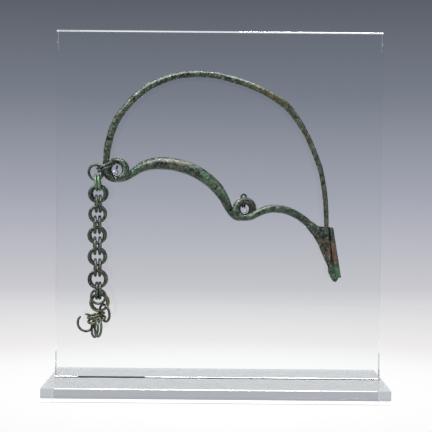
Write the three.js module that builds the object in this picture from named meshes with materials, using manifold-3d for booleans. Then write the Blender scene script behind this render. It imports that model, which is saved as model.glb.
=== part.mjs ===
// Bronze fibula with a curved pin, a spring, an eyelet and a chain of rings, held up on a clear stand.
// Units are millimetres and +Z is up. The origin is the middle of the base plate's underside.
// The object faces -Y, so +X is to its right and +Y runs back towards the panel.
import * as THREE from 'three';
import { mergeVertices } from 'three/addons/utils/BufferGeometryUtils.js';
import Module from 'manifold-3d';

const wasm = await Module();
wasm.setup();

// Clearance kept between pieces that touch on the real object.
const GAP = 0.3;

// Clear stand: one sheet lies as the base and one stands on it as the panel.
const SHEET = 8;
const BASE_WIDTH = 200;
const BASE_DEPTH = 95;
const PANEL_WIDTH = 194.5;
const PANEL_HEIGHT = 208;
const PANEL_X = 0.8;
const PANEL_FRONT_Y = -5.2;
const SHEET_BEVEL = 0.4;

// The one wire that is the fibula: where the pin, bow, small arc, catchplate and pin's point lie
// between the front and the panel.
const PIN_Y = -21.8;
const BOW_Y = -10.4;
const ARC_Y = -21.3;
const PLATE_Y = -17.4;
const POINT_Y = -19.8;
const WIRE_SIDES = 10;
const STEPS_PER_TURN = 16;
// Controls closer together than this are joined straight.
const SHORT_SPAN = 3;
const MERGE_REACH = 1e-4;

// Spring: turns seen from the front go down the left side, with the front turn standing off
// the others by the thickness of a chain ring.
const SPRING = { x: -59.6, z: 132.8, radius: 5.45, wire: 3.4, turns: 2.25 };
const SPRING_FRONT_PITCH = 6.7;
const SPRING_SHIFT = 1.3;

// Eyelet between the bow and the small arc: two turns, slightly taller than wide.
const EYELET = { x: 16.2, z: 110.5, radiusX: 4.65, radiusZ: 4.85, wire: 4.0, turns: 2 };
const EYELET_SHIFT = -0.6;

// Wire routes as [x, z, wire width], from the pin's point round to the catchplate.
const PIN_ROUTE = [
  [66.6, 79.4, 0.8], [66.0, 84.0, 1.8], [65.2, 89.8, 2.4], [64.3, 97.5, 2.6], [64.0, 105.7, 2.7],
  [63.4, 115.1, 2.9], [62.2, 124.5, 2.9], [60.3, 133.8, 3.0], [56.8, 143.4, 3.1], [51.8, 154.5, 3.2],
  [45.8, 164.0, 3.7], [39.3, 171.6, 4.5], [30.5, 177.4, 3.9], [21.0, 182.0, 3.8], [9.5, 185.9, 3.8],
  [-2.0, 188.6, 3.8], [-12.6, 189.3, 3.8], [-22.5, 188.4, 3.9], [-31.5, 185.9, 4.0], [-41.0, 181.3, 4.1],
  [-50.6, 173.3, 4.2], [-57.8, 164.4, 4.3], [-62.1, 155.1, 4.3], [-64.4, 146.2, 4.1], [-65.1, 139.4, 3.7],
];
const BOW_ROUTE = [
  [-55.3, 128.1, 3.7], [-51.6, 130.3, 4.2], [-47.6, 133.2, 5.2], [-43.4, 135.4, 6.1], [-37.6, 136.8, 6.9],
  [-31.1, 137.0, 7.2], [-22.8, 135.8, 7.3], [-14.5, 133.0, 7.3], [-6.4, 128.2, 7.1], [-0.4, 122.8, 6.7],
  [3.9, 116.6, 5.5], [7.1, 110.2, 4.5], [11.2, 105.7, 3.9],
];
const ARC_ROUTE = [
  [20.0, 106.2, 3.8], [23.6, 108.2, 4.2], [27.8, 110.0, 4.5], [32.2, 110.8, 4.6], [37.8, 110.5, 4.5],
  [43.4, 108.9, 4.4], [48.7, 106.1, 4.3], [53.2, 102.6, 4.3], [56.8, 99.3, 4.2],
];

// Catchplate: a hammered tongue whose right edge is folded forward over the pin's point.
const PLATE_THICK = 1.3;
const PLATE_ROOT = { before: 3.2, end: 1.7 };
const PLATE_OUTLINE = [
  [56.2, 103.4], [59.6, 100.7], [66.6, 100.4], [69.0, 88.0], [71.0, 76.0], [71.6, 70.3], [71.1, 68.9],
  [69.9, 67.9], [68.5, 68.4], [66.8, 70.6], [65.6, 73.8], [65.1, 77.3], [62.0, 84.1], [59.2, 90.8],
  [55.8, 96.2], [52.4, 99.9],
];
const FOLD_TOP = { x: 66.5, z: 100.1, width: 2.1, lip: 66.4 };
const FOLD_FOOT = { x: 70.8, z: 70.7, width: 2.9, lip: 70.4 };
const FOLD_DEPTH = 4.4;
const FOLD_WALL = 1.2;
// The fold closes up over its last third, and its lip swings out faster towards the foot.
const FOLD_CLOSING = 1.2;
const LIP_SWING = 1.8;
const LIP_SLOPE = { outer: 0.2, inner: 0.1 };
const FOLD_BITE = 0.3;
const FOLD_TUCK = 0.4;
const FOLD_STATIONS = 7;
const FOLD_STEPS = 6;

// Chain: pairs of rings that face the front and the side by turns.
const RING_WIRE = 1.45;
const PAIR_WIRE = 1.7;
const RING_SEGMENTS = 14;
const RING_SIDES = 6;
const PAIR_STEP = 2.05;
const PAIR_LIFT = 0.2;
const SIDE_TWIST = 8;
const CHAIN_Y = -23.1;
// Each pair as [x, z, ring radius, sideways distance between its two rings], from the spring down.
const CHAIN_PAIRS = [
  [-69.6, 118.9, 4.5, 1.3], [-69.6, 113.0, 4.6, 2.3], [-69.9, 106.9, 4.5, 0.3], [-70.1, 100.7, 4.7, 2.7],
  [-70.1, 94.6, 4.5, 0.7], [-70.0, 88.4, 4.7, 2.9], [-69.9, 82.1, 4.6, 0.6], [-69.8, 75.6, 4.7, 2.6],
  [-69.6, 68.9, 4.8, 0.6], [-69.3, 62.1, 4.6, 1.9],
];
// Single rings as [x, y, z, ring radius, azimuth, elevation]: the last two, in degrees, aim the
// ring's axis, with azimuth 0 along +Y and 90 along +X.
const UPPER_RINGS = [
  [-66.0, -23.2, 135.5, 4.7, -96, 64], [-65.6, -23.1, 133.7, 4.5, -95, 64],
  [-70.8, -25.1, 131.5, 4.4, 6, 1], [-71.3, -22.4, 131.3, 4.3, 20, 6],
  [-70.8, -23.2, 125.2, 4.4, 91, 5.5], [-69.0, -23.7, 125.3, 4.4, 91, 5.5],
];
const LOWER_RINGS = [
  [-68.8, -24.0, 55.2, 4.9, 0, 0], [-68.2, -22.2, 55.4, 4.9, 0, 0],
  [-69.0, -26.0, 58.9, 4.2, -1, -4], [-65.4, -24.0, 49.1, 5.0, 52.2, 7.4],
  [-70.8, -20.6, 47.4, 4.9, -106, 73], [-70.1, -22.1, 45.0, 5.1, -135, 70],
  [-70.8, -27.8, 40.5, 5.0, 64, -3], [-68.9, -27.7, 40.8, 5.1, 64, -3],
];
const OPEN_RING = { x: -76.6, y: -21.6, z: 43.1, radiusX: 4.7, radiusZ: 5.0, from: 131, to: 455, steps: 18 };

// Clear pegs that carry the spring and the eyelet.
const PEG_SIDES = 14;
const PEG_EASE = 0.5;
const PEGS = {
  left: { x: -59.7, z: 131.1, radius: 1.6, end: -25.2 },
  right: { x: 16.1, z: 109.6, radius: 1.3, end: -24.2 },
};

// Dark ties: a short strand on the left peg, and a loop on the right peg that passes between the
// eyelet's turns and shows above it. Its legs close up below the bend.
const TIE_WIRE = 0.9;
const TIE_SIDES = 8;
const BEND_STEP = 30;
const LEFT_TIE = { foot: [-59.5, 133.2], head: [-58.9, 135.6], y: -17.5 };
const RIGHT_TIE = { x: 15.5, bendZ: 117.7, bendRadius: 1.45, waistZ: 113.5, footZ: 111.3, legGap: 1.15 };

const BRONZE = { color: 0x3c4a3c, roughness: 0.55, metalness: 0.7 };
const RING_BRONZE = { color: 0x464c44, roughness: 0.6, metalness: 0.6 };
const CLEAR = { color: 0xf2f5f7, roughness: 0.05, metalness: 0, transparent: true, opacity: 0.35 };
const BLACK = { color: 0x0a0a0a, roughness: 0.6, metalness: 0 };

const group = new THREE.Group();

function addMesh(name, geometry, look) {
  const mesh = new THREE.Mesh(geometry, new THREE.MeshStandardMaterial(look));
  mesh.name = name;
  group.add(mesh);
  return mesh;
}

function geometryFrom(positions, triangles) {
  const geometry = new THREE.BufferGeometry();
  geometry.setAttribute('position', new THREE.Float32BufferAttribute(positions, 3));
  geometry.setIndex(triangles);
  return geometry;
}

// A smooth line through the stations, which are { point, wide, deep }.
function smoothStations(controls, steps) {
  const line = new THREE.CatmullRomCurve3(controls.map((control) => control.point), false, 'centripetal');
  const stations = [];
  const spans = controls.length - 1;
  for (let span = 0; span < spans; span += 1) {
    const from = controls[span];
    const to = controls[span + 1];
    const parts = from.point.distanceTo(to.point) < SHORT_SPAN ? 1 : steps;
    for (let part = 0; part < parts; part += 1) {
      const share = part / parts;
      stations.push({
        point: line.getPoint((span + share) / spans),
        wide: THREE.MathUtils.lerp(from.wide, to.wide, share),
        deep: THREE.MathUtils.lerp(from.deep, to.deep, share),
      });
    }
  }
  stations.push(controls[spans]);
  return stations;
}

// A closed tube through the stations, flat at both ends. wide lies in the XZ plane, deep across it.
function sweep(stations, sides) {
  const depthAxis = new THREE.Vector3(0, 1, 0);
  const positions = [];
  const triangles = [];
  const last = stations.length - 1;
  stations.forEach((station, index) => {
    const before = stations[Math.max(index - 1, 0)].point;
    const after = stations[Math.min(index + 1, last)].point;
    const along = after.clone().sub(before).normalize();
    const across = new THREE.Vector3().crossVectors(depthAxis, along).normalize();
    const out = new THREE.Vector3().crossVectors(along, across);
    for (let side = 0; side < sides; side += 1) {
      const angle = (2 * Math.PI * side) / sides;
      const vertex = station.point.clone();
      vertex.addScaledVector(across, (station.wide / 2) * Math.cos(angle));
      vertex.addScaledVector(out, (station.deep / 2) * Math.sin(angle));
      positions.push(vertex.x, vertex.y, vertex.z);
    }
  });
  for (let index = 0; index < last; index += 1) {
    for (let side = 0; side < sides; side += 1) {
      const a = index * sides + side;
      const b = index * sides + ((side + 1) % sides);
      triangles.push(a, b, b + sides, a, b + sides, a + sides);
    }
  }
  const end = last * sides;
  for (let side = 1; side < sides - 1; side += 1) {
    triangles.push(0, side + 1, side, end, end + side, end + side + 1);
  }
  return geometryFrom(positions, triangles);
}

function solid(geometry) {
  const bare = geometry.clone();
  bare.deleteAttribute('normal');
  bare.deleteAttribute('uv');
  const merged = mergeVertices(bare, MERGE_REACH);
  return new wasm.Manifold(new wasm.Mesh({
    numProp: 3,
    vertProperties: new Float32Array(merged.attributes.position.array),
    triVerts: new Uint32Array(merged.index.array),
  }));
}

function geometryOf(manifold) {
  const mesh = manifold.getMesh();
  return geometryFrom(Array.from(mesh.vertProperties), Array.from(mesh.triVerts));
}

// Extrudes an outline drawn in the XZ plane, so that it fills yFrom to yTo.
function extrudeBack(outline, yFrom, yTo) {
  const shape = new THREE.Shape(outline.map(([x, z]) => new THREE.Vector2(x, z)));
  const geometry = new THREE.ExtrudeGeometry(shape, { depth: yTo - yFrom, bevelEnabled: false });
  geometry.rotateX(Math.PI / 2);
  geometry.translate(0, yTo, 0);
  return geometry;
}

function ease(share) {
  return share * share * (3 - 2 * share);
}

// ---- The fibula's wire ----

function flatRoute(route, depthAt) {
  return route.map(([x, z, wide], index) => ({
    point: new THREE.Vector3(x, depthAt(index / (route.length - 1)), z),
    wide,
    deep: wide,
  }));
}

// The spring from the pin on its left side, down and round to the bow at its foot.
function springTurns() {
  const controls = [];
  const count = Math.round(SPRING.turns * STEPS_PER_TURN);
  const restPitch = (BOW_Y - PIN_Y - SPRING_FRONT_PITCH) / (SPRING.turns - 1);
  for (let step = 0; step <= count; step += 1) {
    const turn = step / STEPS_PER_TURN;
    const angle = Math.PI + 2 * Math.PI * turn;
    const first = Math.min(turn, 1) * SPRING_FRONT_PITCH;
    const rest = Math.max(turn - 1, 0) * restPitch;
    const shift = SPRING_SHIFT * (turn / SPRING.turns - 0.5);
    controls.push({
      point: new THREE.Vector3(
        SPRING.x + shift + SPRING.radius * Math.cos(angle),
        PIN_Y + first + rest,
        SPRING.z + SPRING.radius * Math.sin(angle),
      ),
      wide: SPRING.wire,
      deep: SPRING.wire,
    });
  }
  return controls;
}

// The eyelet from the bow at its foot, round towards the front and out along the small arc.
function eyeletTurns() {
  const controls = [];
  const count = EYELET.turns * STEPS_PER_TURN;
  for (let step = 0; step <= count; step += 1) {
    const turn = step / STEPS_PER_TURN;
    const share = step / count;
    const angle = -Math.PI / 2 + 2 * Math.PI * turn;
    controls.push({
      point: new THREE.Vector3(
        EYELET.x + EYELET_SHIFT * (2 * share - 1) + EYELET.radiusX * Math.cos(angle),
        THREE.MathUtils.lerp(BOW_Y, ARC_Y, share),
        EYELET.z + EYELET.radiusZ * Math.sin(angle),
      ),
      wide: EYELET.wire,
      deep: EYELET.wire,
    });
  }
  return controls;
}

function wire() {
  const pin = flatRoute(PIN_ROUTE, (share) => THREE.MathUtils.lerp(POINT_Y, PIN_Y, ease(share)));
  const bow = flatRoute(BOW_ROUTE, () => BOW_Y);
  const arc = flatRoute(ARC_ROUTE, (share) => THREE.MathUtils.lerp(ARC_Y, PLATE_Y, ease(share)));
  // The small arc is beaten flat where it widens into the catchplate.
  arc.at(-1).deep = PLATE_ROOT.end;
  arc.at(-2).deep = PLATE_ROOT.before;
  const controls = [...pin, ...springTurns(), ...bow, ...eyeletTurns(), ...arc];
  return sweep(smoothStations(controls, 2), WIRE_SIDES);
}

// The fold along the plate's right edge: a U of sheet, open to the left, closed at the right.
function catchFold() {
  const positions = [];
  const triangles = [];
  let ringSize = 0;
  for (let index = 0; index < FOLD_STATIONS; index += 1) {
    const share = index / (FOLD_STATIONS - 1);
    const x = THREE.MathUtils.lerp(FOLD_TOP.x, FOLD_FOOT.x, share);
    const z = THREE.MathUtils.lerp(FOLD_TOP.z, FOLD_FOOT.z, share);
    const width = THREE.MathUtils.lerp(FOLD_TOP.width, FOLD_FOOT.width, share);
    const lip = THREE.MathUtils.lerp(FOLD_TOP.lip, FOLD_FOOT.lip, share ** LIP_SWING);
    const depth = FOLD_DEPTH - FOLD_CLOSING * ease(Math.max(share * 3 - 2, 0));
    const outer = depth / 2;
    const inner = outer - FOLD_WALL;
    const backY = PLATE_Y + PLATE_THICK / 2;
    const middleY = backY - outer;
    const section = [[x - FOLD_BITE, backY]];
    for (let step = 0; step <= FOLD_STEPS; step += 1) {
      const angle = Math.PI / 2 - (Math.PI * step) / FOLD_STEPS;
      section.push([x + (width - FOLD_TUCK) * Math.cos(angle), middleY + outer * Math.sin(angle)]);
    }
    section.push([lip, middleY - outer + LIP_SLOPE.outer]);
    section.push([lip, middleY - inner - LIP_SLOPE.inner]);
    for (let step = FOLD_STEPS; step >= 0; step -= 1) {
      const angle = Math.PI / 2 - (Math.PI * step) / FOLD_STEPS;
      const reach = Math.max(width - FOLD_TUCK - FOLD_WALL, FOLD_BITE);
      section.push([x + reach * Math.cos(angle), middleY + inner * Math.sin(angle)]);
    }
    section.push([x - FOLD_BITE, middleY + inner]);
    ringSize = section.length;
    section.forEach(([sx, sy]) => positions.push(sx, sy, z));
  }
  for (let index = 0; index < FOLD_STATIONS - 1; index += 1) {
    for (let side = 0; side < ringSize; side += 1) {
      const a = index * ringSize + side;
      const b = index * ringSize + ((side + 1) % ringSize);
      triangles.push(a, b, b + ringSize, a, b + ringSize, a + ringSize);
    }
  }
  const top = [];
  for (let side = 0; side < ringSize; side += 1) {
    top.push(new THREE.Vector2(positions[side * 3], positions[side * 3 + 1]));
  }
  const end = (FOLD_STATIONS - 1) * ringSize;
  THREE.ShapeUtils.triangulateShape(top, []).forEach(([a, b, c]) => {
    triangles.push(a, b, c, end + a, end + c, end + b);
  });
  return geometryFrom(positions, triangles);
}

function fibula() {
  const plate = extrudeBack(PLATE_OUTLINE, PLATE_Y - PLATE_THICK / 2, PLATE_Y + PLATE_THICK / 2);
  return geometryOf(solid(wire()).add(solid(plate)).add(solid(catchFold())));
}

// ---- Chain ----

function addRing(name, [x, y, z, radius, azimuthDegrees, elevationDegrees, wireWidth = RING_WIRE]) {
  const azimuth = THREE.MathUtils.degToRad(azimuthDegrees);
  const elevation = THREE.MathUtils.degToRad(elevationDegrees);
  const axis = new THREE.Vector3(
    Math.sin(azimuth) * Math.cos(elevation),
    Math.cos(azimuth) * Math.cos(elevation),
    Math.sin(elevation),
  );
  const torus = new THREE.TorusGeometry(radius, wireWidth / 2, RING_SIDES, RING_SEGMENTS);
  const ring = addMesh(name, torus, RING_BRONZE);
  ring.quaternion.setFromUnitVectors(new THREE.Vector3(0, 0, 1), axis);
  ring.position.set(x, y, z);
}

function addOpenRing(name) {
  const controls = [];
  for (let step = 0; step <= OPEN_RING.steps; step += 1) {
    const share = step / OPEN_RING.steps;
    const angle = THREE.MathUtils.degToRad(THREE.MathUtils.lerp(OPEN_RING.from, OPEN_RING.to, share));
    controls.push({
      point: new THREE.Vector3(
        OPEN_RING.x + OPEN_RING.radiusX * Math.cos(angle),
        OPEN_RING.y,
        OPEN_RING.z + OPEN_RING.radiusZ * Math.sin(angle),
      ),
      wide: RING_WIRE,
      deep: RING_WIRE,
    });
  }
  addMesh(name, sweep(controls, RING_SIDES), RING_BRONZE);
}

// The two rings of a link: a front pair lies one behind the other, a side pair side by side.
function pairRings([x, z, radius, apart], facesSide) {
  return [-1, 1].map((hand) => {
    const aside = (hand * apart) / 2;
    return facesSide
      ? [x + aside, CHAIN_Y, z, radius, 90 - SIDE_TWIST, 0, PAIR_WIRE]
      : [x + aside, CHAIN_Y + (hand * PAIR_STEP) / 2, z + (hand * PAIR_LIFT) / 2, radius, 0, 0, PAIR_WIRE];
  });
}

function addChain() {
  const pairs = CHAIN_PAIRS.map((pair, index) => pairRings(pair, index % 2 === 1));
  [...UPPER_RINGS, ...pairs.flat(), ...LOWER_RINGS].forEach((spec, index) => {
    addRing(`chain_ring_${String(index + 1).padStart(2, '0')}`, spec);
  });
  addOpenRing('open_ring');
}

// ---- Stand ----

// A sheet with its eight edges eased, from its lowest corner to its highest.
function sheet(low, high) {
  const size = high.clone().sub(low);
  const inset = SHEET_BEVEL;
  const shape = new THREE.Shape([
    new THREE.Vector2(inset, inset),
    new THREE.Vector2(size.x - inset, inset),
    new THREE.Vector2(size.x - inset, size.z - inset),
    new THREE.Vector2(inset, size.z - inset),
  ]);
  const geometry = new THREE.ExtrudeGeometry(shape, {
    depth: size.y - 2 * inset,
    bevelThickness: inset,
    bevelSize: inset,
    bevelSegments: 1,
  });
  geometry.rotateX(Math.PI / 2);
  geometry.translate(low.x, high.y - inset, low.z);
  return geometry;
}

function tube(points, wide) {
  const controls = points.map(([x, y, z]) => ({ point: new THREE.Vector3(x, y, z), wide, deep: wide }));
  return sweep(smoothStations(controls, 1), TIE_SIDES);
}

function addTies() {
  const left = [LEFT_TIE.foot, LEFT_TIE.head].map(([x, z]) => [x, LEFT_TIE.y, z]);
  addMesh('tie_left', tube(left, TIE_WIRE), BLACK);

  // The loop lies midway between the two turns, which slope away to the left as they rise.
  const pitch = (ARC_Y - BOW_Y) / EYELET.turns;
  const middleY = BOW_Y + pitch;
  const slope = -pitch / (2 * Math.PI * EYELET.radiusZ);
  const at = (x, z) => [x, middleY + slope * (x - EYELET.x), z];
  const leg = RIGHT_TIE.legGap / 2;
  const bend = [];
  for (let angle = 0; angle <= 180; angle += BEND_STEP) {
    const turn = THREE.MathUtils.degToRad(angle);
    bend.push(at(
      RIGHT_TIE.x + RIGHT_TIE.bendRadius * Math.cos(turn),
      RIGHT_TIE.bendZ + RIGHT_TIE.bendRadius * Math.sin(turn),
    ));
  }
  const right = [
    at(RIGHT_TIE.x + leg, RIGHT_TIE.footZ),
    at(RIGHT_TIE.x + leg, RIGHT_TIE.waistZ),
    ...bend,
    at(RIGHT_TIE.x - leg, RIGHT_TIE.waistZ),
    at(RIGHT_TIE.x - leg, RIGHT_TIE.footZ),
  ];
  addMesh('tie_right', tube(right, TIE_WIRE), BLACK);
}

function addStand() {
  const half = new THREE.Vector2(BASE_WIDTH / 2, BASE_DEPTH / 2);
  const base = sheet(new THREE.Vector3(-half.x, -half.y, 0), new THREE.Vector3(half.x, half.y, SHEET));
  addMesh('base_plate', base, CLEAR);
  const foot = new THREE.Vector3(PANEL_X - PANEL_WIDTH / 2, PANEL_FRONT_Y, SHEET + GAP);
  const head = new THREE.Vector3(PANEL_X + PANEL_WIDTH / 2, PANEL_FRONT_Y + SHEET, SHEET + PANEL_HEIGHT);
  addMesh('panel', sheet(foot, head), CLEAR);
  Object.entries(PEGS).forEach(([side, peg]) => {
    const length = PANEL_FRONT_Y - GAP - peg.end;
    const rod = [
      [0, 0], [peg.radius, 0], [peg.radius, length - PEG_EASE], [peg.radius - PEG_EASE, length], [0, length],
    ];
    const geometry = new THREE.LatheGeometry(rod.map(([x, y]) => new THREE.Vector2(x, y)), PEG_SIDES);
    geometry.rotateX(Math.PI);
    const mesh = addMesh(`peg_${side}`, geometry, CLEAR);
    mesh.position.set(peg.x, PANEL_FRONT_Y - GAP, peg.z);
  });
}

addMesh('fibula', fibula(), BRONZE);
addChain();
addStand();
addTies();

export default group;
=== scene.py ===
"""Looks of a bronze fibula with a chain of rings, held up on a clear acrylic stand.

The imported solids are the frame. This file gives every piece its finish, and gives the wrought
bronze its round, corroded skin. Sizes in the classes are millimetres, and meshes are metres.
"""
import logging
import math
from dataclasses import dataclass, field
from enum import Enum
from typing import Any

import bmesh
import bpy
import numpy as np
from mathutils import Matrix, Vector


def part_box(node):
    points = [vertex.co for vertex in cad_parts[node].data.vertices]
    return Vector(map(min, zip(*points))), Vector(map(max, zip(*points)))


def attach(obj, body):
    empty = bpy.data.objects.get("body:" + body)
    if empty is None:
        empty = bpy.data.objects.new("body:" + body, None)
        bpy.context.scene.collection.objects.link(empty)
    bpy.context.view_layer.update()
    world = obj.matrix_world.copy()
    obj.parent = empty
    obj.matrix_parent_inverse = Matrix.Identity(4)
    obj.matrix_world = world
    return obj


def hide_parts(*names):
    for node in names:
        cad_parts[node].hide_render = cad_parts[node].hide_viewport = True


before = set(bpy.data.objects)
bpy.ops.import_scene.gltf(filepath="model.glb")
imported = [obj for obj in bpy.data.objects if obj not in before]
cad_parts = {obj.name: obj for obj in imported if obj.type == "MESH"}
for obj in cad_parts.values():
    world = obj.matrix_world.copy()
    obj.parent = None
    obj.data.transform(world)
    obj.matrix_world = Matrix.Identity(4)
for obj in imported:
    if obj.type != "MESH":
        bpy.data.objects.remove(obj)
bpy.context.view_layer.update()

logging.basicConfig(level=logging.INFO, format="%(message)s")
LOG = logging.getLogger("fibula")

MM = 0.001
BODY = "root"
RING_STEPS = 84
RING_WIRE_SIDES = 14
WANDER_PER_METRE = 170.0

Point = tuple[float, float, float]


# ---- Small tools ----


def linear(code: str) -> tuple[float, float, float, float]:
    """Turns an sRGB hex colour into linear values.

    Args:
        code: Six hex digits after a hash.

    Returns:
        Red, green and blue, each from 0 to 1, and a full alpha.
    """
    parts = [int(code[place:place + 2], 16) / 255 for place in (1, 3, 5)]
    values = [part / 12.92 if part <= 0.04045 else ((part + 0.055) / 1.055) ** 2.4 for part in parts]
    return (*values, 1.0)


def per_metre(size_mm: float) -> float:
    """Gives the texture scale whose features are size_mm across on Object coordinates."""
    return 1000.0 / size_mm


def add_node(
    tree: bpy.types.NodeTree,
    kind: str,
    settings: dict[str, Any] | None = None,
    inputs: dict[str | int, Any] | None = None,
    ramp: list[tuple[float, tuple[float, float, float, float]]] | None = None,
) -> bpy.types.Node:
    """Adds a node with its settings and links.

    Args:
        tree: The node tree that gets the node.
        kind: The node's type name.
        settings: Properties of the node by name.
        inputs: A value, or a socket to link from, for each named or numbered input.
        ramp: The stops of a Color Ramp, as place and colour.

    Returns:
        The new node.
    """
    node = tree.nodes.new(kind)
    for name, value in (settings or {}).items():
        setattr(node, name, value)
    if ramp:
        stops = node.color_ramp.elements
        while len(stops) < len(ramp):
            stops.new(1.0)
        for stop, (place, colour) in zip(stops, ramp):
            stop.position = place
            stop.color = colour
    for key, value in (inputs or {}).items():
        if isinstance(value, bpy.types.NodeSocket):
            tree.links.new(value, node.inputs[key])
        else:
            node.inputs[key].default_value = value
    return node


def new_material(name: str) -> tuple[bpy.types.Material, bpy.types.NodeTree, bpy.types.Node]:
    """Starts an empty node material.

    Args:
        name: The material's name.

    Returns:
        The material, its node tree and its output node.
    """
    material = bpy.data.materials.new(name)
    material.use_nodes = True
    tree = material.node_tree
    tree.nodes.clear()
    output = add_node(tree, "ShaderNodeOutputMaterial")
    return material, tree, output


def plain_object(name: str, mesh: bpy.types.Mesh) -> bpy.types.Object:
    """Links a mesh to the scene as an object at the origin."""
    thing = bpy.data.objects.new(name, mesh)
    bpy.context.scene.collection.objects.link(thing)
    return thing


def bake_modifiers(thing: bpy.types.Object, material: bpy.types.Material) -> None:
    """Turns an object's evaluated shape into its plain mesh, and removes its modifiers.

    Args:
        thing: The object with modifiers.
        material: The only material that the finished mesh has.
    """
    graph = bpy.context.evaluated_depsgraph_get()
    mesh = bpy.data.meshes.new_from_object(thing.evaluated_get(graph))
    thing.modifiers.clear()
    thing.data = mesh
    mesh.name = thing.name
    mesh.materials.clear()
    mesh.materials.append(material)
    mesh.polygons.foreach_set("use_smooth", [True] * len(mesh.polygons))
    mesh.update()


def use_tree(
    thing: bpy.types.Object, tree: bpy.types.NodeTree, values: dict[str, Any]
) -> None:
    """Adds a Geometry Nodes modifier and sets its inputs by their sockets' identifiers.

    Args:
        thing: The object that gets the modifier.
        tree: The Geometry Nodes tree.
        values: A value for each of the tree's named inputs.
    """
    modifier = thing.modifiers.new(tree.name, "NODES")
    modifier.node_group = tree
    for item in tree.interface.items_tree:
        if item.item_type == "SOCKET" and item.in_out == "INPUT" and item.name in values:
            modifier[item.identifier] = values[item.name]


def finish_piece(
    thing: bpy.types.Object, nodes: list[str], note: str
) -> None:
    """Says what a finished piece rides on and stands for, and reports it.

    Args:
        thing: The finished piece.
        nodes: The CAD nodes that the piece stands for.
        note: What the log says about it.
    """
    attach(thing, BODY)
    if nodes:
        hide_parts(*nodes)
    triangles = sum(len(face.vertices) - 2 for face in thing.data.polygons)
    LOG.info("%s: %s, %d triangles", thing.name, note, triangles)


def dress_node(node: str, material: bpy.types.Material) -> None:
    """Gives a CAD node that keeps its own shape a better material.

    Args:
        node: The CAD node's name.
        material: Its finish.
    """
    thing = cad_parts[node]
    thing.data.materials.clear()
    thing.data.materials.append(material)
    LOG.info("%s: keeps its solid, dressed in %s", node, material.name)


# ---- Finishes ----


@dataclass(frozen=True)
class Patch:
    """A stained place on the bronze, or a place of painted shade: where it is and how far it reaches, in
    millimetres.
    """

    centre: Point
    reach: float
    colour: str
    strength: float = 0.8


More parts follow.
